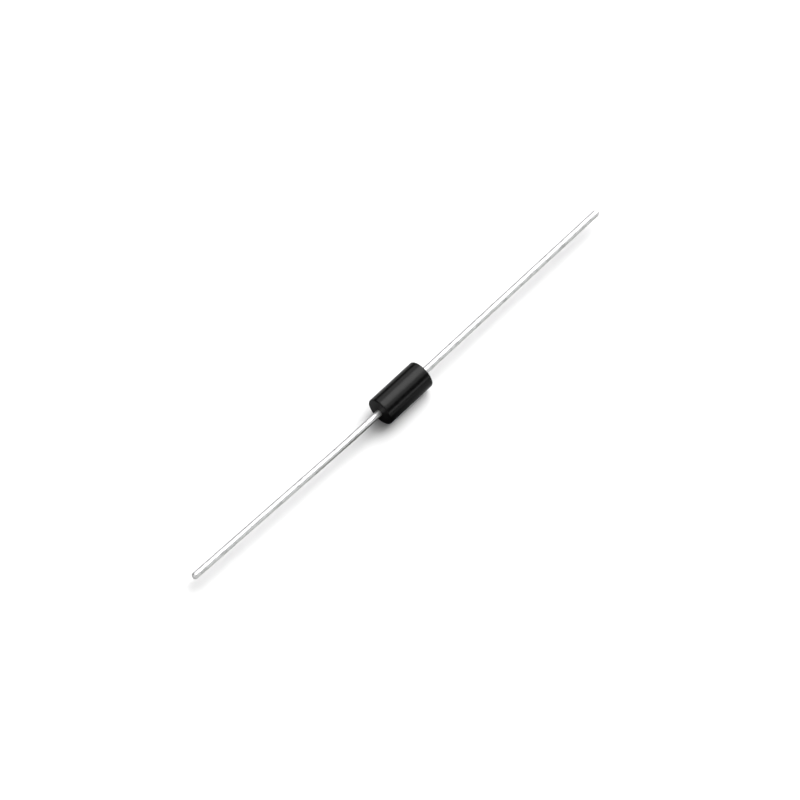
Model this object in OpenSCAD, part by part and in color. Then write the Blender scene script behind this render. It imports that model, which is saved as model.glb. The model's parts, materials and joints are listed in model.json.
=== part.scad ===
// Axial transient voltage suppressor diode: a moulded body on two nail-headed wire leads
// X runs along the leads, +Z is up and the origin is the middle of the silicon die

/* [Body] */
// Diameter of the moulded body
body_d = 3.3; // [2.8:0.05:3.6]
// Length of the body where the leads come out of it
body_l = 6.6; // [5.4:0.1:7.6]
// Slope of each end face from the lead back to the rim, in degrees
end_draft = 2.5; // [0.5:0.5:8]
// Radius of the rim round each end
rim_r = 0.15; // [0.05:0.01:0.3]

/* [Leads] */
// Diameter of the lead wire
wire_d = 0.76; // [0.6:0.02:0.9]
// Length of each lead outside the body, along the wire
lead_free = 27.9; // [24:0.1:34]
// Round at the edge of each tip, as a share of the wire's radius
tip_round = 0.8; // [0.1:0.05:0.9]

/* [Bend in the left lead] */
// Angle by which the left lead is bent sideways, in degrees
bend_angle = 1.45; // [0.6:0.05:12]
// Length of lead between the body and the bend
bend_reach = 4.8; // [1:0.1:20]
// How far the bend's knuckle stands out from the wire
bend_swell = 0.004; // [0.004:0.001:0.02]

/* [Lead heads] */
// Diameter of the upset head on the inner end of each lead
head_d = 1.7; // [1.4:0.05:2]
// Thickness of the head
head_t = 0.4; // [0.24:0.02:0.6]
// Length of the cone between the head and its shank
neck_l = 0.25; // [0.1:0.05:0.6]
// How much the shank's radius swells from the body's end face to the neck
shank_swell = 0.08; // [0.02:0.01:0.15]

/* [Junction] */
// Width of the square silicon die
die_w = 1.6; // [1.3:0.05:1.8]
// Thickness of the die
die_t = 0.26; // [0.16:0.02:0.5]
// Diameter of each solder disc
solder_d = 1.2; // [0.8:0.05:1.25]
// Thickness of each solder disc
solder_t = 0.06; // [0.03:0.01:0.14]
// Silicone outside the die's corners
coat_cover = 0.12; // [0.05:0.01:0.2]

/* [Hidden] */
$fn = 64;
body_r = body_d / 2;
half_l = body_l / 2;
wire_r = wire_d / 2;
tip_r = wire_r * tip_round;
head_r = head_d / 2;
shank_r = wire_r + shank_swell;

// Places along X, from the die out to the tip
die_face_x = die_t / 2;
head_face_x = die_face_x + solder_t;
head_mid_x = head_face_x + head_t / 2;
neck_x = head_face_x + head_t;
shank_x = neck_x + neck_l;
tip_x = half_l + lead_free;

// Centre of the rim's round, which touches the side wall and the sloped end face
rim_centre_r = body_r - rim_r;
rim_centre_x = half_l - (rim_centre_r - wire_r) * tan(end_draft) - rim_r / cos(end_draft);
// The end face runs this far inside the round, so that the two cross in one clean line
rim_bite = 0.0002;

// Round of the silicone bead, through its crest and the widest line of both heads
coat_r = die_w / sqrt(2) + coat_cover;
bead_centre_r = (coat_r ^ 2 - head_r ^ 2 - head_mid_x ^ 2) / (2 * (coat_r - head_r));
bead_r = coat_r - bead_centre_r;

bend_x = half_l + bend_reach;

EPOXY = [0.09, 0.09, 0.1];
TIN = [0.8, 0.81, 0.82];
SOLDER = [0.62, 0.63, 0.65];
SILICON = [0.3, 0.31, 0.36];
SILICONE = [0.86, 0.84, 0.8];

// Turns a profile of radius and place about the X axis
module turned() {
    rotate([0, 90, 0]) rotate_extrude() children();
}

// Half section of the body, as radius and place along X
module body_profile() {
    slope_r = rim_centre_r + (rim_r - rim_bite) * sin(end_draft);
    slope_x = rim_centre_x + (rim_r - rim_bite) * cos(end_draft);
    polygon([
        [0, -half_l], [wire_r, -half_l], [slope_r, -slope_x], [body_r, -rim_centre_x],
        [body_r, rim_centre_x], [slope_r, slope_x], [wire_r, half_l], [0, half_l]
    ]);
    for (side = [-1, 1]) translate([rim_centre_r, side * rim_centre_x]) circle(rim_r);
}

// Half section of a straight lead, from its upset head to its rounded tip
module lead_profile() {
    flat_r = head_r - head_t / 2;
    polygon([
        [0, head_face_x], [flat_r, head_face_x], [flat_r, neck_x], [shank_r, shank_x], [wire_r, half_l],
        [wire_r, tip_x - tip_r], [wire_r - tip_r, tip_x], [0, tip_x]
    ]);
    translate([flat_r, head_mid_x]) circle(head_t / 2);
    translate([wire_r - tip_r, tip_x - tip_r]) intersection() {
        circle(tip_r);
        square(tip_r);
    }
}

// Silicone bead that fills the gap between the heads and bulges past the die's corners
module bead_profile() {
    translate([0, -head_face_x]) square([head_r, 2 * head_face_x]);
    intersection() {
        translate([bead_centre_r, 0]) circle(bead_r);
        translate([head_r - head_t / 2, -bead_r]) square([coat_r, 2 * bead_r]);
    }
}

module straight_lead() {
    turned() lead_profile();
}

// Everything out from the body past the bend, measured on a straight lead
module past_bend() {
    reach = tip_x;
    translate([bend_x, -reach / 2, -reach / 2]) cube(reach);
}

module moulded_body() {
    color(EPOXY) difference() {
        turned() body_profile();
        turned() bead_profile();
        straight_lead();
        mirror([1, 0, 0]) straight_lead();
    }
}

module lead_left() {
    color(TIN) mirror([1, 0, 0]) {
        difference() {
            straight_lead();
            past_bend();
        }
        translate([bend_x, 0, 0]) sphere(wire_r + bend_swell);
        translate([bend_x, 0, 0]) rotate([0, 0, bend_angle]) translate([-bend_x, 0, 0]) intersection() {
            straight_lead();
            past_bend();
        }
    }
}

module lead_right() {
    color(TIN) straight_lead();
}

module solder_disc() {
    color(SOLDER) translate([die_face_x, 0, 0]) rotate([0, 90, 0]) cylinder(d = solder_d, h = solder_t);
}

module solder_left() {
    mirror([1, 0, 0]) solder_disc();
}

module solder_right() {
    solder_disc();
}

module silicon_die() {
    color(SILICON) cube([die_t, die_w, die_w], center = true);
}

module junction_coating() {
    color(SILICONE) difference() {
        turned() bead_profile();
        silicon_die();
        solder_left();
        solder_right();
        straight_lead();
        mirror([1, 0, 0]) straight_lead();
    }
}

moulded_body();
lead_left();
lead_right();
solder_left();
solder_right();
silicon_die();
junction_coating();
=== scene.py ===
"""Axial suppressor diode: the moulded body, the two drawn leads and the junction inside, on a white table.

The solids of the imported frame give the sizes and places. The body and the leads get smooth surfaces of the
same form, every piece gets a finish made of nodes, and a stage of soft light and a camera goes round them.
"""

import json
import math

import bpy
import numpy as np
from bpy.props import FloatProperty, FloatVectorProperty, IntProperty, PointerProperty
from bpy.types import Operator, Panel, PropertyGroup
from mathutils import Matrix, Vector


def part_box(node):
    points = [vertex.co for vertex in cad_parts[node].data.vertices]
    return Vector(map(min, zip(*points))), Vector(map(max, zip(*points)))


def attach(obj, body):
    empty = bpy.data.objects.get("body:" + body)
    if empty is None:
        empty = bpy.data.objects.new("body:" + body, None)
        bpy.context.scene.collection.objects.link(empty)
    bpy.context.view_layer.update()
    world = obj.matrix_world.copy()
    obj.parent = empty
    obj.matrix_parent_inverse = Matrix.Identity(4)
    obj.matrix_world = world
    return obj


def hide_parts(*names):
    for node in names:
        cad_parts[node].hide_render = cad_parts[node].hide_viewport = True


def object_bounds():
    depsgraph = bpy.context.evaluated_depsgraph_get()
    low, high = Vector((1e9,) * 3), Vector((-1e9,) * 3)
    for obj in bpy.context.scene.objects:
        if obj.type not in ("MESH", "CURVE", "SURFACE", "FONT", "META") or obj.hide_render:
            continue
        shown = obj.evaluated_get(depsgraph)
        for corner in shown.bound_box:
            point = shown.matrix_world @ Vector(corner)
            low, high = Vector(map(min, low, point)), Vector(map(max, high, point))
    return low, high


bl_info = {
    "name": "Axial Suppressor Diode",
    "version": (1, 0, 0),
    "blender": (4, 5, 0),
    "location": "View3D > Sidebar > Diode",
    "description": "Dresses the solids of an axial suppressor diode and sets a table-top stage",
    "category": "Add Mesh",
}

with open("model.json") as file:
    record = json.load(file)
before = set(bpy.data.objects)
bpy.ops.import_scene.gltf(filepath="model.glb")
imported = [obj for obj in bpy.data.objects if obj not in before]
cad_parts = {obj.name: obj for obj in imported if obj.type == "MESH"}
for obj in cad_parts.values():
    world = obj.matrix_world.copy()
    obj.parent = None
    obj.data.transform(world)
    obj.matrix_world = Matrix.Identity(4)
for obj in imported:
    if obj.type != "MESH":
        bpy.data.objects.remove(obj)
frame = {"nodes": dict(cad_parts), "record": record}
CAD_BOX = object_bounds()

MM = 0.001
MICRON = 0.000001
FULL_TURN = 2 * math.pi
HALF_TURN = math.pi
QUARTER_TURN = math.pi / 2

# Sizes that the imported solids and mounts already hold
BODY_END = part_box("moulded_body")[1]
LEAD_START, LEAD_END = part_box("lead_right")
COATING_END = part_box("junction_coating")[1]
MOUNTS = {mount["name"]: mount for mount in frame["record"]["mounts"]}
WIRE_RADIUS = MOUNTS["lead_right"]["dims"]["r_mm"] * MM
BENT_AXIS = Vector(MOUNTS["lead_left"]["axis"])
BENT_POINT = Vector(MOUNTS["lead_left"]["pos_m"])
BEND_ANGLE = math.degrees(math.atan2(BENT_AXIS.y, -BENT_AXIS.x))
BEND_PLACE = BENT_POINT.y * BENT_AXIS.x / BENT_AXIS.y - BENT_POINT.x

# Steps along each run of the moulding's half section, outside and then inside
SIDE_STEPS = 24
RIM_STEPS = 14
END_FACE_STEPS = 14
SHANK_HOLE_STEPS = 10
NECK_HOLE_STEPS = 4
HEAD_HOLE_STEPS = 12
COATING_STEPS = 16

# Steps along each run of a lead's half section, apart from the bare wire
HEAD_FACE_STEPS = 4
HEAD_EDGE_STEPS = 20
NECK_STEPS = 5
SHANK_STEPS = 12
TIP_ROUND_STEPS = 12
TIP_FACE_STEPS = 4

# Innermost ring of a head's flat face, as a share of the face's radius
HEAD_FACE_START = 0.25
# How strongly the moulding's points crowd towards the parting line, from 0 to 1
SEAM_CROWDING = 0.85
# Points that the bowed centre line is summed over
PATH_POINTS = 2000
# Faces that meet at more than this angle keep a sharp edge
CREASE_ANGLE = math.radians(35)

# Nicks: lengths and widths in millimetres, shares of the full depth, and a seed for each lead
NICK_LENGTHS = (0.15, 0.6)
NICK_WIDTHS = (0.06, 0.13)
NICK_SHARES = (0.3, 1)
LEFT_SEED = 11
RIGHT_SEED = 23

# Linear colours of the pieces inside the body
SOLDER_DARK = (0.42, 0.42, 0.44, 1)
SOLDER_LIGHT = (0.66, 0.66, 0.68, 1)
SILICON_DARK = (0.1, 0.105, 0.125, 1)
SILICON_LIGHT = (0.21, 0.22, 0.26, 1)
SILICONE_DARK = (0.68, 0.66, 0.6, 1)
SILICONE_LIGHT = (0.84, 0.82, 0.77, 1)

# Nearest and farthest that the camera sees: its distance to the aim, divided and multiplied by this
CLIP_RATIO = 100
# A round light shines the same from anywhere along its direction, so this only places its icon
ROUND_LIGHT_DISTANCE = 1
# The board that the part mirrors lies this far under the table that the camera sees
BOARD_GAP = MICRON


def length(name, description, default):
    """A property that holds a length in metres."""
    return FloatProperty(name=name, description=description, default=default, unit="LENGTH", precision=6)


def angle(name, description, degrees):
    """A property that holds an angle, given here in degrees."""
    return FloatProperty(name=name, description=description, default=math.radians(degrees), subtype="ANGLE")


def share(name, description, default):
    """A property that holds a number from 0 to 1."""
    return FloatProperty(
        name=name, description=description, default=default, min=0, max=1, subtype="FACTOR"
    )


def amount(name, description, default):
    """A property that holds a brightness or another plain number from 0 up."""
    return FloatProperty(name=name, description=description, default=default, min=0)


def count(name, description, default):
    """A property that holds a whole number."""
    return IntProperty(name=name, description=description, default=default, min=0)


def colour(name, description, default):
    """A property that holds a linear colour."""
    return FloatVectorProperty(
        name=name, description=description, default=(*default, 1), size=4, min=0, max=1, subtype="COLOR"
    )


class BodySizes(PropertyGroup):
    """Form and finish of the moulded body. The end draft and the rim radius repeat the solid's."""

    radius: length("Radius", "Radius of the moulded cylinder", BODY_END.z)
    half_length: length("Half length", "From the middle to the point where a lead comes out", BODY_END.x)
    end_draft: angle("End draft", "Slope of each end face from the lead back to the rim", 2.5)
    rim_radius: length("Rim radius", "Round between the side and each end face", 0.15 * MM)
    coating_radius: length("Coating radius", "Crest of the hollow round the junction", COATING_END.z)
    seam_height: length("Seam height", "How far the mould's parting line stands out", 5 * MICRON)
    seam_width: length("Seam width", "Half width of the parting line", 22 * MICRON)
    around: count("Around", "Segments round the axis, a multiple of 4", 256)
    dark: colour("Dark epoxy", "Colour of the resin", (0.0012, 0.0012, 0.0012))
    light: colour("Light epoxy", "Colour where the filler shows", (0.003, 0.003, 0.003))
    smooth: share("Smooth", "Roughness of the smoothest epoxy", 0.18)
    rough: share("Rough", "Roughness of the dullest epoxy", 0.26)
    end_rough: share("End roughness", "Roughness of the two end faces", 0.38)
    gloss: share("Gloss", "Strength of the epoxy's reflections", 0.175)


class LeadSizes(PropertyGroup):
    """Form and finish of the two leads. The head, the neck, the shank and the tip repeat the solids'."""

    wire_radius: length("Wire radius", "Radius of the drawn wire", WIRE_RADIUS)
    head_face: length("Head face", "From the middle of the part to a head's flat face", LEAD_START.x)
    head_radius: length("Head radius", "Radius of the upset head inside the body", LEAD_END.z)
    head_thickness: length("Head thickness", "Thickness of the upset head", 0.4 * MM)
    neck_length: length("Neck length", "Cone between the head and the shank", 0.25 * MM)
    shank_swell: length("Shank swell", "How much the shank's radius grows up to the neck", 0.08 * MM)
    tip: length("Tip", "From the middle of the part to the tip of a lead, along the wire", LEAD_END.x)
    tip_radius: length("Tip radius", "Round at the edge of each tip", 0.8 * WIRE_RADIUS)
    bend_place: length("Bend place", "From the middle of the part to the left lead's bend", BEND_PLACE)
    bend_angle: angle("Bend angle", "Bend of the left lead", BEND_ANGLE)
    bend_spread: length("Bend spread", "Length of wire on each side of the bend that bows", 4 * MM)
    around: count("Around", "Segments round the wire", 72)
    along: count("Along", "Segments along the bare wire", 420)
    nicks: count("Nicks", "Shallow marks of handling on each lead", 16)
    nick_depth: length("Nick depth", "Depth of the deepest mark", 9 * MICRON)
    dark: colour("Dark tin", "Colour of the dull smudges", (0.45, 0.45, 0.45))
    light: colour("Light tin", "Colour of the clean plating", (0.7, 0.7, 0.7))
    smooth: share("Smooth", "Roughness of the brightest plating", 0.34)
    rough: share("Rough", "Roughness of the dullest plating", 0.46)


class StageSizes(PropertyGroup):
    """Table, light and camera."""

    azimuth: angle("Azimuth", "Camera's angle round the part from straight in front", -47.4)
    elevation: angle("Elevation", "Camera's angle above the table", 58)
    distance: length("Distance", "From the camera to the point it aims at", 700 * MM)
    lens: amount("Lens", "Focal length in millimetres", 298.5)
    sensor: amount("Sensor", "Width of the square sensor in millimetres", 36)
    aim_right: length("Aim right", "How far right of the part's middle the camera aims", -0.074 * MM)
    aim_up: length("Aim up", "How far above the part's middle the camera aims", -0.723 * MM)
    core_along: angle("Core along", "Lean of the small overhead light towards the right lead", 42)
    core_back: angle("Core back", "Lean of the small overhead light to the back", 8)
    core_width: angle("Core width", "Angle that the small overhead light fills", 54)
    core_strength: amount("Core strength", "What the small overhead light gives a face turned to it", 2.6)
    soft_along: angle("Soft along", "Lean of the large overhead light towards the right lead", 40)
    soft_back: angle("Soft back", "Lean of the large overhead light to the back", 13)
    soft_width: angle("Soft width", "Angle that the large overhead light fills", 96)
    soft_strength: amount("Soft strength", "What the large overhead light gives a face turned to it", 2.8)
    strip_height: angle("Strip height", "Angle of the strip light above the table", 13)
    strip_width: angle("Strip width", "Angle that the strip light fills from edge to edge", 14)
    strip_distance: length("Strip distance", "From the part to the strip light", 1.2)
    strip_length: length("Strip length", "Length of the strip light, along the leads", 4)
    strip_strength: amount("Strip strength", "Brightness of the strip light", 2.1)
    end_height: angle("End height", "Angle of the left end's gloss light above the table", 40)
    end_width: angle("End width", "Angle that the left end's gloss light fills", 60)
    end_strength: amount("End strength", "What the left end's gloss light gives a face turned to it", 1.6)
    room: amount("Room", "Brightness of the room round the table", 0.05)
    table_white: share("Table white", "Light that the table gives back to the camera", 0.9)
    # The grey board is a darker copy of the white table, seen only in the part's reflections: painted shade
    table_grey: share("Table grey", "Light that the table gives back to the part", 0.5)
    # The dark patch is a painted shadow on the grey board, mirrored by the part in place of its own shadow
    shade_patch_along: length("Patch along", "Middle of the mirrored dark patch, along the leads", -5 * MM)
    shade_patch_back: length("Patch back", "Middle of the mirrored dark patch, towards the back", -5.4 * MM)
    shade_patch_core: length("Patch core", "Radius of the darkest part of the patch", 3.8 * MM)
    shade_patch_reach: length("Patch reach", "Radius where the patch has faded away", 9.8 * MM)
    shade_patch_dark: share("Patch dark", "Light that the darkest part of the patch gives back", 0.01)
    table_size: length("Table size", "Width of the table", 6)


# Surfaces


def straight(start, end, steps):
    """Points from start to end in equal steps, without the end: start plus k / steps of the way."""
    way = np.arange(steps)[:, None] / steps
    return np.array(start) + way * (np.array(end) - np.array(start))


def arc(centre, radius, start, end, steps):
    """Points on a circle, without the last: centre plus radius times (cos, sin) of evenly spaced angles."""
    angles = start + (end - start) * np.arange(steps) / steps
    return np.array(centre) + radius * np.stack([np.cos(angles), np.sin(angles)], axis=1)


def hump(distance, width):
    """A hump of height 1: e to the minus square of distance over width."""
    return np.exp(-((distance / width) ** 2))


def ease(value):
    """0 below 0, 1 above 1, and 3v^2 - 2v^3 between."""
    held = np.clip(value, 0, 1)
    return held * held * (3 - 2 * held)


def running_sum(values, step):
    """Area under evenly spaced values up to each of them, by trapezia."""
    return np.concatenate([[0], np.cumsum((values[1:] + values[:-1]) / 2) * step])


def grid_faces(rings, around, closed):
    """Corner numbers of the four-sided faces between neighbouring rings, each ring closed on itself."""
    last = rings if closed else rings - 1
    ring, step = np.meshgrid(np.arange(last), np.arange(around), indexing="ij")
    next_ring = (ring + 1) % rings
    next_step = (step + 1) % around
    corners = [(ring, step), (next_ring, step), (next_ring, next_step), (ring, next_step)]
    return np.stack([(r * around + s).ravel() for r, s in corners], axis=1)


def volume(points, faces):
    """Signed volume within four-sided faces: a sixth of the triple products of their triangles."""
    a, b, c, d = (points[faces[:, corner]] for corner in range(4))
    triple = np.einsum("ij,ij->i", a, np.cross(b, c)) + np.einsum("ij,ij->i", a, np.cross(c, d))
    return triple.sum() / 6


def surface(name, rings, poles=None):
    """Mesh object through rings of points. Without poles the last ring joins the first. With them, a fan of
    triangles joins the first and the last ring to a point."""
    rows, around, _ = rings.shape
    points = rings.reshape(-1, 3)
    quads = grid_faces(rows, around, closed=poles is None)
    order = 1 if volume(points, quads) > 0 else -1
    faces = quads[:, ::order].tolist()
    if poles is not None:
        here = np.arange(around)
        ahead = np.roll(here, -1)
        end = (rows - 1) * around
        pole = np.full(around, len(points))
        first_fan = np.stack([pole, here, ahead], axis=1)
        last_fan = np.stack([here + end, pole + 1, ahead + end], axis=1)
        faces += np.concatenate([first_fan, last_fan])[:, ::order].tolist()
        points = np.concatenate([points, poles])
    mesh = bpy.data.meshes.new(name)
    mesh.from_pydata(points, [], faces)
    mesh.shade_smooth()
    mesh.set_sharp_from_angle(angle=CREASE_ANGLE)
    piece = bpy.data.objects.new(name, mesh)
    bpy.context.scene.collection.objects.link(piece)
    return piece


def head_places(lead):
    """Places along a lead: the middle of its head, and the starts of its neck and its shank."""
    middle = lead.head_face + lead.head_thickness / 2
    neck = lead.head_face + lead.head_thickness
    return middle, neck, neck + lead.neck_length


def head_radii(lead):
    """Radii of a head's rounded edge, of its flat face and of the shank where the neck ends."""
    edge_round = lead.head_thickness / 2
    return edge_round, lead.head_radius - edge_round, lead.wire_radius + lead.shank_swell


def moulding_outside(body, lead):
    """Half section of the outside as (x, radius): along the side, round the rim and down the end face."""
    rim_centre_r = body.radius - body.rim_radius
    end_fall = (rim_centre_r - lead.wire_radius) * math.tan(body.end_draft)
    rim_centre_x = body.half_length - end_fall - body.rim_radius / math.cos(body.end_draft)
    rim_end_x = rim_centre_x + body.rim_radius * math.cos(body.end_draft)
    rim_end_r = rim_centre_r + body.rim_radius * math.sin(body.end_draft)
    return np.concatenate([
        straight((0, body.radius), (rim_centre_x, body.radius), SIDE_STEPS),
        arc((rim_centre_x, rim_centre_r), body.rim_radius, QUARTER_TURN, body.end_draft, RIM_STEPS),
        straight((rim_end_x, rim_end_r), (body.half_length, lead.wire_radius), END_FACE_STEPS),
    ])


def moulding_inside(body, lead):
    """Half section of the hollow as (x, radius): along the shank and the neck, round half of the head's
    edge and up the round of the junction's coating. That round goes through the head's widest line and the
    coating's crest."""
    middle, neck, shank = head_places(lead)
    edge_round, flat_radius, shank_radius = head_radii(lead)
    rise = body.coating_radius - lead.head_radius
    reach = body.coating_radius**2 - lead.head_radius**2 - middle**2
    coating_centre = reach / (2 * rise)
    coating_round = body.coating_radius - coating_centre
    coating_start = math.atan2(lead.head_radius - coating_centre, middle)
    return np.concatenate([
        straight((body.half_length, lead.wire_radius), (shank, shank_radius), SHANK_HOLE_STEPS),
        straight((shank, shank_radius), (neck, flat_radius), NECK_HOLE_STEPS),
        arc((middle, flat_radius), edge_round, 0, QUARTER_TURN, HEAD_HOLE_STEPS),
        arc((0, coating_centre), coating_round, coating_start, QUARTER_TURN, COATING_STEPS),
        [[0, body.coating_radius]],
    ])


def moulding_rings(body, lead):
    """The moulding: its section, mirrored into a closed loop, is turned about X. Outside, a fine parting
    line stands out along the plane where the two halves of the mould meet, and points crowd towards it."""
    outside = moulding_outside(body, lead)
    half = np.concatenate([outside, moulding_inside(body, lead)])
    loop = np.concatenate([half, half[-2:0:-1] * (-1, 1)])
    shown = np.zeros(len(loop))
    shown[: len(outside)] = 1
    shown[1 - len(outside):] = 1
    tangent = np.roll(loop, -1, axis=0) - np.roll(loop, 1, axis=0)
    tangent /= np.linalg.norm(tangent, axis=1)[:, None]
    even_turn = FULL_TURN * np.arange(body.around) / body.around
    turn = even_turn - SEAM_CROWDING / 2 * np.sin(2 * even_turn)
    height = loop[:, 1:] * np.sin(turn)
    seam = body.seam_height * hump(height, body.seam_width) * shown[:, None]
    place = loop[:, :1] - tangent[:, 1:] * seam
    radius = loop[:, 1:] + tangent[:, :1] * seam
    return np.stack([place, radius * np.cos(turn), radius * np.sin(turn)], axis=2)


def lead_section(body, lead):
    """Half section of a lead as (x, radius): over the head, down the neck, out along the shank and the wire
    and round the tip."""
    middle, neck, shank = head_places(lead)
    edge_round, flat_radius, shank_radius = head_radii(lead)
    face_start = flat_radius * HEAD_FACE_START
    tip_flat = lead.wire_radius - lead.tip_radius
    tip_start = lead.tip - lead.tip_radius
    return np.concatenate([
        straight((lead.head_face, face_start), (lead.head_face, flat_radius), HEAD_FACE_STEPS),
        arc((middle, flat_radius), edge_round, HALF_TURN, 0, HEAD_EDGE_STEPS),
        straight((neck, flat_radius), (shank, shank_radius), NECK_STEPS),
        straight((shank, shank_radius), (body.half_length, lead.wire_radius), SHANK_STEPS),
        straight((body.half_length, lead.wire_radius), (tip_start, lead.wire_radius), lead.along),
        arc((tip_start, tip_flat), lead.tip_radius, QUARTER_TURN, 0, TIP_ROUND_STEPS),
        straight((lead.tip, tip_flat), (lead.tip, 0), TIP_FACE_STEPS),
    ])


def nick_depths(station, turn, body, lead, seed):
    """How far handling has pressed the wire in: a sum of long shallow humps at places drawn with a seed."""
    draw = np.random.default_rng(seed)
    depth = np.zeros((len(station), len(turn)))
    for _ in range(lead.nicks):
        place = draw.uniform(body.half_length, lead.tip)
        side = draw.uniform(0, FULL_TURN)
        long = draw.uniform(*NICK_LENGTHS) * MM
        wide = draw.uniform(*NICK_WIDTHS) * MM
        deep = draw.uniform(*NICK_SHARES) * lead.nick_depth
        off_side = np.mod(turn - side + HALF_TURN, FULL_TURN) - HALF_TURN
        depth += deep * hump(station - place, long)[:, None] * hump(off_side * lead.wire_radius, wide)
    return depth * (station > body.half_length)[:, None]


def bowed_path(station, lead, bend_angle):
    """Centre line of a lead as (along, aside, heading): the heading eases from 0 to the bend's angle over
    the bend's spread, and the place is the running sum of the heading's cosine and sine."""
    fine = np.linspace(0, lead.tip, PATH_POINTS)
    heading = bend_angle * ease((fine - lead.bend_place + lead.bend_spread) / (2 * lead.bend_spread))
    step = fine[1] - fine[0]
    along = np.interp(station, fine, running_sum(np.cos(heading), step))
    aside = np.interp(station, fine, running_sum(np.sin(heading), step))
    return along, aside, np.interp(station, fine, heading)


def lead_rings(body, lead, bend_angle, side, seed):
    """Rings and end points of a lead: its nicked section carried along its bowed path, with each ring
    square to the path. The side is 1 to the right and -1 to the left."""
    section = lead_section(body, lead)
    station = section[:, 0]
    turn = FULL_TURN * np.arange(lead.around) / lead.around
    radius = section[:, 1:] - nick_depths(station, turn, body, lead, seed)
    along, aside, heading = (values[:, None] for values in bowed_path(station, lead, bend_angle))
    out = radius * np.cos(turn)
    x = side * (along - out * np.sin(heading))
    y = aside + out * np.cos(heading)
    rings = np.stack([x, y, radius * np.sin(turn)], axis=2)
    return rings, rings[[0, -1]].mean(axis=1)


# Finishes


def new_finish(name):
    """A new material with its node tree and its shader."""
    material = bpy.data.materials.new(name)
    material.use_nodes = True
    return material, material.node_tree, material.node_tree.nodes["Principled BSDF"]


def grey(brightness):
    """Linear colour of an even grey."""
    return brightness, brightness, brightness, 1


def mapped_place(tree, scale, shift=(0, 0, 0)):
    """Object coordinates, scaled along each axis and then shifted."""
    place = tree.nodes.new("ShaderNodeTexCoord")
    mapping = tree.nodes.new("ShaderNodeMapping")
    mapping.inputs["Scale"].default_value = scale
    mapping.inputs["Location"].default_value = shift
    tree.links.new(place.outputs["Object"], mapping.inputs["Vector"])
    return mapping.outputs["Vector"]


def grain(tree, size, detail, stretch=(1, 1, 1)):
    """Noise from 0 to 1. Its features have this size, times the stretch along each axis."""
    noise = tree.nodes.new("ShaderNodeTexNoise")
    noise.inputs["Scale"].default_value = 1
    noise.inputs["Detail"].default_value = detail
    place = mapped_place(tree, [1 / (size * factor) for factor in stretch])
    tree.links.new(place, noise.inputs["Vector"])
    return noise.outputs["Fac"]


def nearness(tree, middle, reach):
    """1 at a point, and falling in step with the distance to 0 at the reach. A reach of None leaves that
    axis out of the distance."""
    scale = Vector([0 if part is None else 1 / part for part in reach])
    ball = tree.nodes.new("ShaderNodeTexGradient")
    ball.gradient_type = "SPHERICAL"
    tree.links.new(mapped_place(tree, scale, -scale * Vector(middle)), ball.inputs["Vector"])
    return ball.outputs["Fac"]


def tint(tree, factor, start, end, low=0.35, high=0.65):
    """Colour that goes from start to end as a number goes from low to high."""
    ramp = tree.nodes.new("ShaderNodeValToRGB")
    first, last = ramp.color_ramp.elements
    first.position = low
    first.color = start
    last.position = high
    last.color = end
    tree.links.new(factor, ramp.inputs["Fac"])
    return ramp.outputs["Color"]


def spread(tree, factor, start, end, low=0.3, high=0.7):
    """Number that goes from start to end as another number goes from low to high."""
    span = tree.nodes.new("ShaderNodeMapRange")
    for socket, value in zip(("From Min", "From Max", "To Min", "To Max"), (low, high, start, end)):
        span.inputs[socket].default_value = value
    tree.links.new(factor, span.inputs["Value"])
    return span.outputs["Result"]


def larger(tree, first, second):
    """The larger of two numbers."""
    pick = tree.nodes.new("ShaderNodeMath")
    pick.operation = "MAXIMUM"
    tree.links.new(first, pick.inputs[0])
    tree.links.new(second, pick.inputs[1])
    return pick.outputs["Value"]


def relief(tree, height, depth, under=None):
    """Bump of this depth from a noise, over another bump if there is one."""
    bump = tree.nodes.new("ShaderNodeBump")
    bump.inputs["Strength"].default_value = 1
    bump.inputs["Distance"].default_value = depth
    tree.links.new(height, bump.inputs["Height"])
    if under is not None:
        tree.links.new(under, bump.inputs["Normal"])
    return bump.outputs["Normal"]


def epoxy_finish(body):
    """Black moulded epoxy: satin on the side and duller on the ends, with fine filler grain, faint lines
    where the mould let go along the axis, and a slow waviness."""
    material, tree, shader = new_finish("satin_epoxy")
    flow = grain(tree, size=0.7 * MM, detail=4)
    drag = grain(tree, size=0.14 * MM, detail=2, stretch=(12, 1, 1))
    filler = grain(tree, size=0.05 * MM, detail=2)
    tree.links.new(tint(tree, filler, body.dark, body.light), shader.inputs["Base Color"])
    side = spread(tree, flow, body.smooth, body.rough)
    from_end = nearness(tree, middle=(0, 0, 0), reach=(body.half_length, None, None))
    end = spread(tree, from_end, start=body.end_rough, end=0, low=0.03, high=0.06)
    tree.links.new(larger(tree, side, end), shader.inputs["Roughness"])
    wavy = relief(tree, flow, depth=5 * MICRON)
    dragged = relief(tree, drag, depth=2 * MICRON, under=wavy)
    grainy = relief(tree, filler, depth=1.2 * MICRON, under=dragged)
    tree.links.new(grainy, shader.inputs["Normal"])
    shader.inputs["Specular IOR Level"].default_value = body.gloss
    return material


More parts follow.
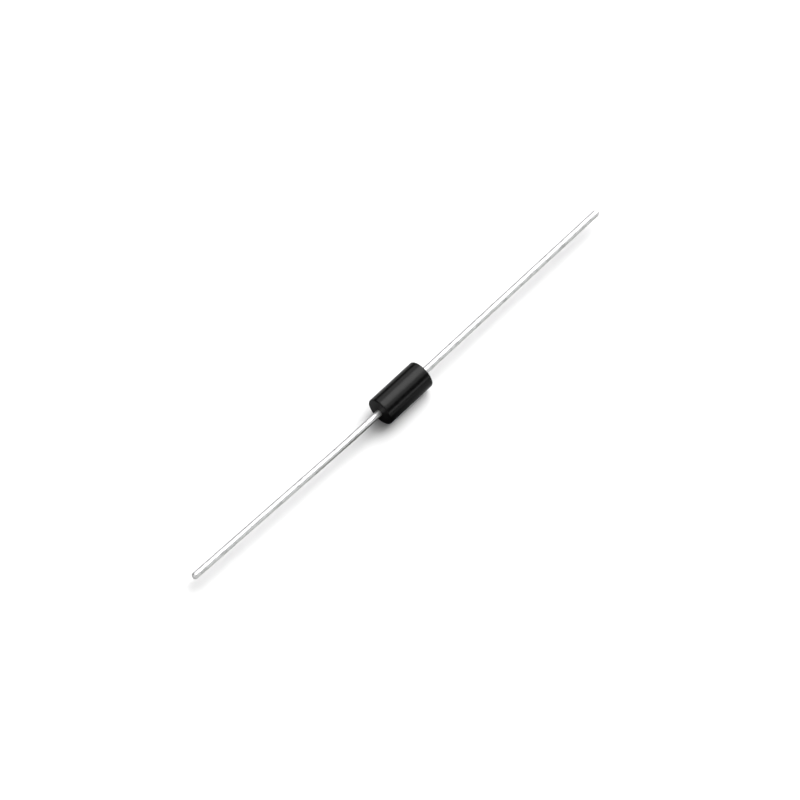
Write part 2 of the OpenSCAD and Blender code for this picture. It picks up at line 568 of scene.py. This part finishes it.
def tin_finish(lead):
    """Tin plating on drawn wire: long fine lines from drawing, dull smudges from handling, and specks."""
    material, tree, shader = new_finish("tin_plating")
    lines = grain(tree, size=0.04 * MM, detail=2, stretch=(80, 1, 1))
    smudges = grain(tree, size=0.35 * MM, detail=3, stretch=(2, 1, 1))
    specks = grain(tree, size=0.07 * MM, detail=1)
    smudged = tint(tree, smudges, lead.light, lead.dark, low=0.48, high=0.7)
    tree.links.new(smudged, shader.inputs["Base Color"])
    tree.links.new(spread(tree, smudges, lead.smooth, lead.rough), shader.inputs["Roughness"])
    lumpy = relief(tree, smudges, depth=7 * MICRON)
    drawn = relief(tree, lines, depth=2 * MICRON, under=lumpy)
    specked = relief(tree, specks, depth=1.5 * MICRON, under=drawn)
    tree.links.new(specked, shader.inputs["Normal"])
    shader.inputs["Metallic"].default_value = 1
    return material


def solder_finish():
    """Dull grey solder with a frosted, slightly lumpy surface."""
    material, tree, shader = new_finish("dull_solder")
    frost = grain(tree, size=0.06 * MM, detail=4)
    tree.links.new(tint(tree, frost, SOLDER_DARK, SOLDER_LIGHT), shader.inputs["Base Color"])
    tree.links.new(spread(tree, frost, start=0.38, end=0.6), shader.inputs["Roughness"])
    tree.links.new(relief(tree, frost, depth=4 * MICRON), shader.inputs["Normal"])
    shader.inputs["Metallic"].default_value = 1
    return material


def silicon_finish():
    """Sawn silicon: dark grey with a faint blue, and fine saw lines round the edge of the die."""
    material, tree, shader = new_finish("sawn_silicon")
    saw = grain(tree, size=0.012 * MM, detail=2, stretch=(1, 30, 30))
    tree.links.new(tint(tree, saw, SILICON_DARK, SILICON_LIGHT), shader.inputs["Base Color"])
    tree.links.new(spread(tree, saw, start=0.22, end=0.42), shader.inputs["Roughness"])
    tree.links.new(relief(tree, saw, depth=1 * MICRON), shader.inputs["Normal"])
    shader.inputs["Metallic"].default_value = 0.6
    return material


def silicone_finish():
    """Soft off-white silicone, a little cloudy."""
    material, tree, shader = new_finish("cloudy_silicone")
    cloud = grain(tree, size=0.25 * MM, detail=4)
    tree.links.new(tint(tree, cloud, SILICONE_DARK, SILICONE_LIGHT), shader.inputs["Base Color"])
    tree.links.new(spread(tree, cloud, start=0.4, end=0.55), shader.inputs["Roughness"])
    tree.links.new(relief(tree, cloud, depth=3 * MICRON), shader.inputs["Normal"])
    return material


def new_chalk(name):
    """A new matt material, without any gloss, with its node tree and its shader."""
    material, tree, shader = new_finish(name)
    shader.inputs["Roughness"].default_value = 1
    shader.inputs["Specular IOR Level"].default_value = 0
    return material, tree, shader


def white_finish(stage):
    """Even matt white."""
    material, _, shader = new_chalk("white_chalk")
    shader.inputs["Base Color"].default_value = grey(stage.table_white)
    return material


def shade_patch_finish(stage):
    """Matt grey with a dark round patch in front of the part, a painted shadow that the part mirrors in
    place of its own shadow on the table. Towards the middle of the patch the grey falls in step with the
    distance, from the patch's reach to its core."""
    material, tree, shader = new_chalk("shade_patch_chalk")
    middle = (stage.shade_patch_along, stage.shade_patch_back, 0)
    patch = nearness(tree, middle, reach=(stage.shade_patch_reach, stage.shade_patch_reach, None))
    core = 1 - stage.shade_patch_core / stage.shade_patch_reach
    # Painted shadow: the board's grey darkens to the patch's dark towards its middle
    patched = tint(tree, patch, grey(stage.table_grey), grey(stage.shade_patch_dark), low=0, high=core)
    tree.links.new(patched, shader.inputs["Base Color"])
    return material


def dress(piece, material):
    """Gives a piece one material in place of any that it had."""
    piece.data.materials.clear()
    piece.data.materials.append(material)


# Stage


def table_top(name, size, height, material):
    """Square of this size across Z at this height, kept out of the part."""
    half = size / 2
    corners = [(-half, -half, height), (half, -half, height), (half, half, height), (-half, half, height)]
    mesh = bpy.data.meshes.new(name)
    mesh.from_pydata(corners, [], [(0, 1, 2, 3)])
    board = bpy.data.objects.new(name, mesh)
    bpy.context.scene.collection.objects.link(board)
    dress(board, material)
    return board


def hang_light(name, kind, direction, distance):
    """Light of this kind at this distance, turned to shine from the direction on to the part."""
    lamp = bpy.data.objects.new(name, bpy.data.lights.new(name, kind))
    lamp.location = direction * distance
    lamp.rotation_euler = direction.to_track_quat("Z", "Y").to_euler()
    bpy.context.scene.collection.objects.link(lamp)
    return lamp


def hang_round_light(name, direction, width, strength):
    """Round light far off in this direction, with the angle that it fills and what it gives a face turned
    to it."""
    lamp = hang_light(name, "SUN", direction.normalized(), ROUND_LIGHT_DISTANCE)
    lamp.data.angle = width
    lamp.data.energy = strength
    return lamp


def set_table(stage):
    """White table for the camera, level with the part's lowest point, and just under it a grey board, which
    is what the part mirrors. The board is a darker copy of the table with a painted shadow patch, so the
    table in the part's reflections carries painted shade."""
    height = CAD_BOX[0].z
    white = table_top("white_table", stage.table_size, height, white_finish(stage))
    white.visible_glossy = False
    white.visible_diffuse = False
    white.visible_shadow = False
    board = table_top("grey_board", stage.table_size, height - BOARD_GAP, shade_patch_finish(stage))
    board.visible_camera = False


def set_lights(stage):
    """Two round lights overhead, a round one from the left that gives nothing but gloss, and a strip in
    front. The strip's power is its brightness times pi times its area."""
    core_side = Vector((math.tan(stage.core_along), math.tan(stage.core_back), 1))
    hang_round_light("overhead_core", core_side, stage.core_width, stage.core_strength)
    soft_side = Vector((math.tan(stage.soft_along), math.tan(stage.soft_back), 1))
    hang_round_light("overhead_soft", soft_side, stage.soft_width, stage.soft_strength)
    end_side = Vector((-math.cos(stage.end_height), 0, math.sin(stage.end_height)))
    end_gloss = hang_round_light("end_gloss", end_side, stage.end_width, stage.end_strength)
    end_gloss.visible_diffuse = False
    strip_side = Vector((0, -math.cos(stage.strip_height), math.sin(stage.strip_height)))
    strip = hang_light("strip_light", "AREA", strip_side, stage.strip_distance).data
    strip.shape = "RECTANGLE"
    strip.size = stage.strip_length
    strip.size_y = 2 * stage.strip_distance * math.tan(stage.strip_width / 2)
    strip.energy = stage.strip_strength * math.pi * strip.size * strip.size_y


def set_camera(stage):
    """Camera at its azimuth and elevation round a point near the part's middle."""
    flat = math.cos(stage.elevation)
    back = Vector((
        math.sin(stage.azimuth) * flat, -math.cos(stage.azimuth) * flat, math.sin(stage.elevation)
    ))
    right = Vector((math.cos(stage.azimuth), math.sin(stage.azimuth), 0))
    aim = right * stage.aim_right + back.cross(right) * stage.aim_up
    data = bpy.data.cameras.new("camera")
    data.lens = stage.lens
    data.sensor_width = stage.sensor
    data.clip_start = stage.distance / CLIP_RATIO
    data.clip_end = stage.distance * CLIP_RATIO
    camera = bpy.data.objects.new("camera", data)
    camera.location = aim + back * stage.distance
    camera.rotation_euler = back.to_track_quat("Z", "Y").to_euler()
    bpy.context.scene.collection.objects.link(camera)
    bpy.context.scene.camera = camera


def set_room(stage):
    """Even dim light from all round."""
    world = bpy.data.worlds.new("room")
    world.use_nodes = True
    world.node_tree.nodes["Background"].inputs["Color"].default_value = grey(stage.room)
    bpy.context.scene.world = world


# Operators


class DIODE_OT_mould_body(Operator):
    """Moulds the epoxy body round the leads and the junction"""

    bl_idname = "diode.mould_body"
    bl_label = "Mould Body"

    def execute(self, context):
        body = context.scene.diode_body
        piece = surface("epoxy_moulding", moulding_rings(body, context.scene.diode_leads))
        dress(piece, epoxy_finish(body))
        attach(piece, "root")
        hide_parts("moulded_body")
        return {"FINISHED"}


class DIODE_OT_draw_leads(Operator):
    """Draws the two tinned leads, the left one with its slight bow"""

    bl_idname = "diode.draw_leads"
    bl_label = "Draw Leads"

    def execute(self, context):
        body = context.scene.diode_body
        lead = context.scene.diode_leads
        tin = tin_finish(lead)
        leads = [("left", lead.bend_angle, -1, LEFT_SEED), ("right", 0, 1, RIGHT_SEED)]
        for name, bend_angle, side, seed in leads:
            rings, poles = lead_rings(body, lead, bend_angle, side, seed)
            piece = surface("tinned_wire_" + name, rings, poles)
            dress(piece, tin)
            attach(piece, "root")
            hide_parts("lead_" + name)
        return {"FINISHED"}


class DIODE_OT_finish_junction(Operator):
    """Finishes the die, the solder discs and the coating inside the body"""

    bl_idname = "diode.finish_junction"
    bl_label = "Finish Junction"

    def execute(self, context):
        solder = solder_finish()
        dress(frame["nodes"]["solder_left"], solder)
        dress(frame["nodes"]["solder_right"], solder)
        dress(frame["nodes"]["silicon_die"], silicon_finish())
        dress(frame["nodes"]["junction_coating"], silicone_finish())
        return {"FINISHED"}


class DIODE_OT_set_stage(Operator):
    """Sets the table, the light and the camera"""

    bl_idname = "diode.set_stage"
    bl_label = "Set Stage"

    def execute(self, context):
        stage = context.scene.diode_stage
        set_table(stage)
        set_lights(stage)
        set_room(stage)
        set_camera(stage)
        context.scene.view_settings.view_transform = "Standard"
        return {"FINISHED"}


STEPS = (DIODE_OT_mould_body, DIODE_OT_draw_leads, DIODE_OT_finish_junction, DIODE_OT_set_stage)


class DIODE_PT_sidebar(Panel):
    """Steps that make the diode, in order"""

    bl_label = "Axial Diode"
    bl_space_type = "VIEW_3D"
    bl_region_type = "UI"
    bl_category = "Diode"

    def draw(self, context):
        for step in STEPS:
            self.layout.operator(step.bl_idname)
        for group in (context.scene.diode_body, context.scene.diode_leads, context.scene.diode_stage):
            box = self.layout.box()
            for name in group.bl_rna.properties.keys():
                if name not in ("rna_type", "name"):
                    box.prop(group, name)


SIZES = (("diode_body", BodySizes), ("diode_leads", LeadSizes), ("diode_stage", StageSizes))


def register():
    """Registers the sizes, the steps and the panel."""
    for name, group in SIZES:
        bpy.utils.register_class(group)
        setattr(bpy.types.Scene, name, PointerProperty(type=group))
    for item in (*STEPS, DIODE_PT_sidebar):
        bpy.utils.register_class(item)


def unregister():
    """Takes away what register added, in reverse."""
    for item in (DIODE_PT_sidebar, *reversed(STEPS)):
        bpy.utils.unregister_class(item)
    for name, group in reversed(SIZES):
        delattr(bpy.types.Scene, name)
        bpy.utils.unregister_class(group)


def main():
    """Makes the diode and its stage."""
    register()
    bpy.ops.diode.mould_body()
    bpy.ops.diode.draw_leads()
    bpy.ops.diode.finish_junction()
    bpy.ops.diode.set_stage()


if __name__ == "__main__":
    main()
